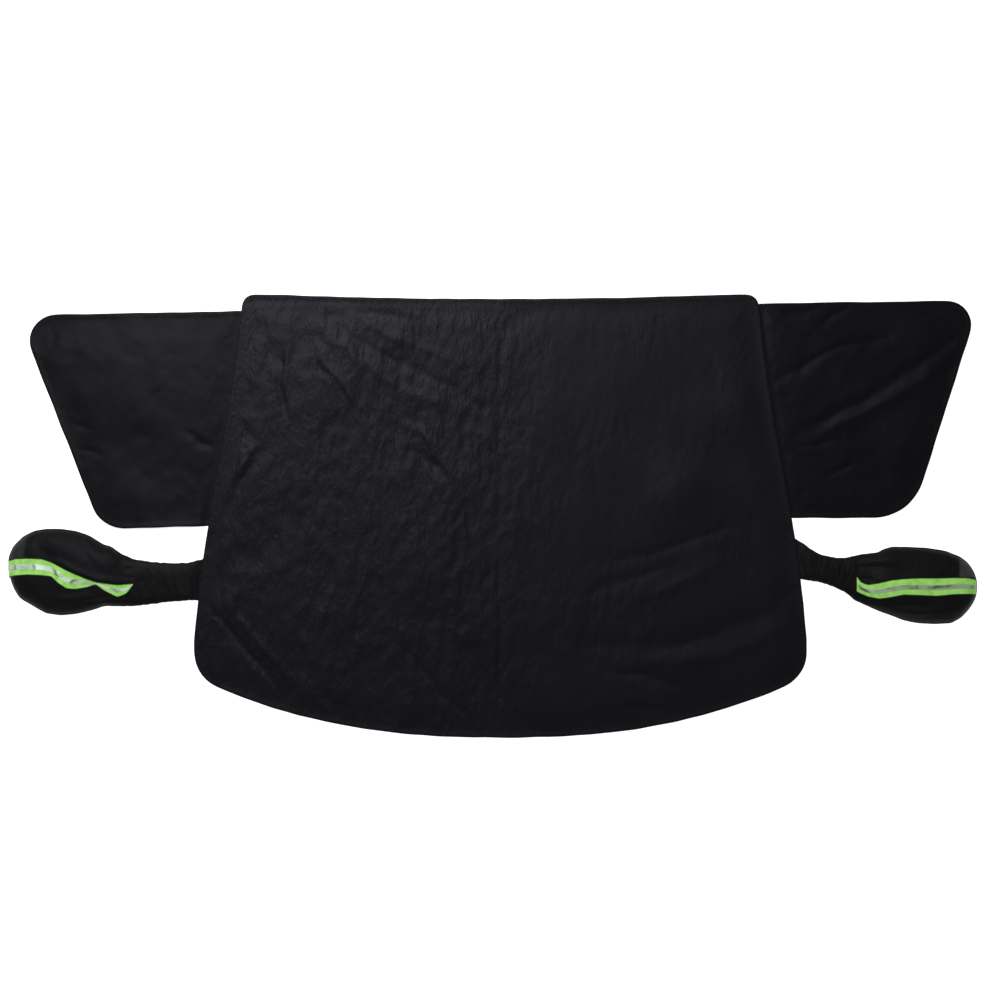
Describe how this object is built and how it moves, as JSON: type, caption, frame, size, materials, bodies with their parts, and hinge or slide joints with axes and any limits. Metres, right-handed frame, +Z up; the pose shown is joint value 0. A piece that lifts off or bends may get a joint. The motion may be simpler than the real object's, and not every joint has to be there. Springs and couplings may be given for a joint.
{
  "type": "windshield frost cover",
  "caption": "Black cloth windshield frost cover laid flat, with door flaps at its sides and elastic door-mirror pouches that carry bright reflective tape.",
  "frame": {"origin": "on the underside of the main panel, at the middle of its width and height", "axes": "+Z up, out of the outer face; +Y to the top edge, which lies along the car's roof; +X to the right flap and mirror pouch as the picture shows them"},
  "size_m": [2.3261, 1.064, 0.0354],
  "materials": {
    "black_cloth": "thin coated polyester cloth, creased, with a soft satin sheen",
    "neck_cloth": "the same thin coated cloth, gathered along an elastic",
    "binding": "narrow woven edge binding, matt",
    "elastic": "braided elastic, matt",
    "bright_tape": "high-visibility lime woven tape",
    "reflective_strip": "silver reflective film with a fine bead texture"
  },
  "bodies": {
    "root": {"main_panel": "black_cloth", "left_wing": "black_cloth", "left_neck": "neck_cloth", "left_neck_elastic": "elastic", "left_pouch_front": "black_cloth", "left_pouch_back": "black_cloth", "left_pouch_binding": "binding", "left_mouth_elastic": "elastic", "left_tape_band": "bright_tape", "left_tape_strip": "reflective_strip", "right_wing": "black_cloth", "right_neck": "neck_cloth", "right_neck_elastic": "elastic", "right_pouch_front": "black_cloth", "right_pouch_back": "black_cloth", "right_pouch_binding": "binding", "right_mouth_elastic": "elastic", "right_tape_band": "bright_tape", "right_tape_strip": "reflective_strip"}
  },
  "joints": []
}
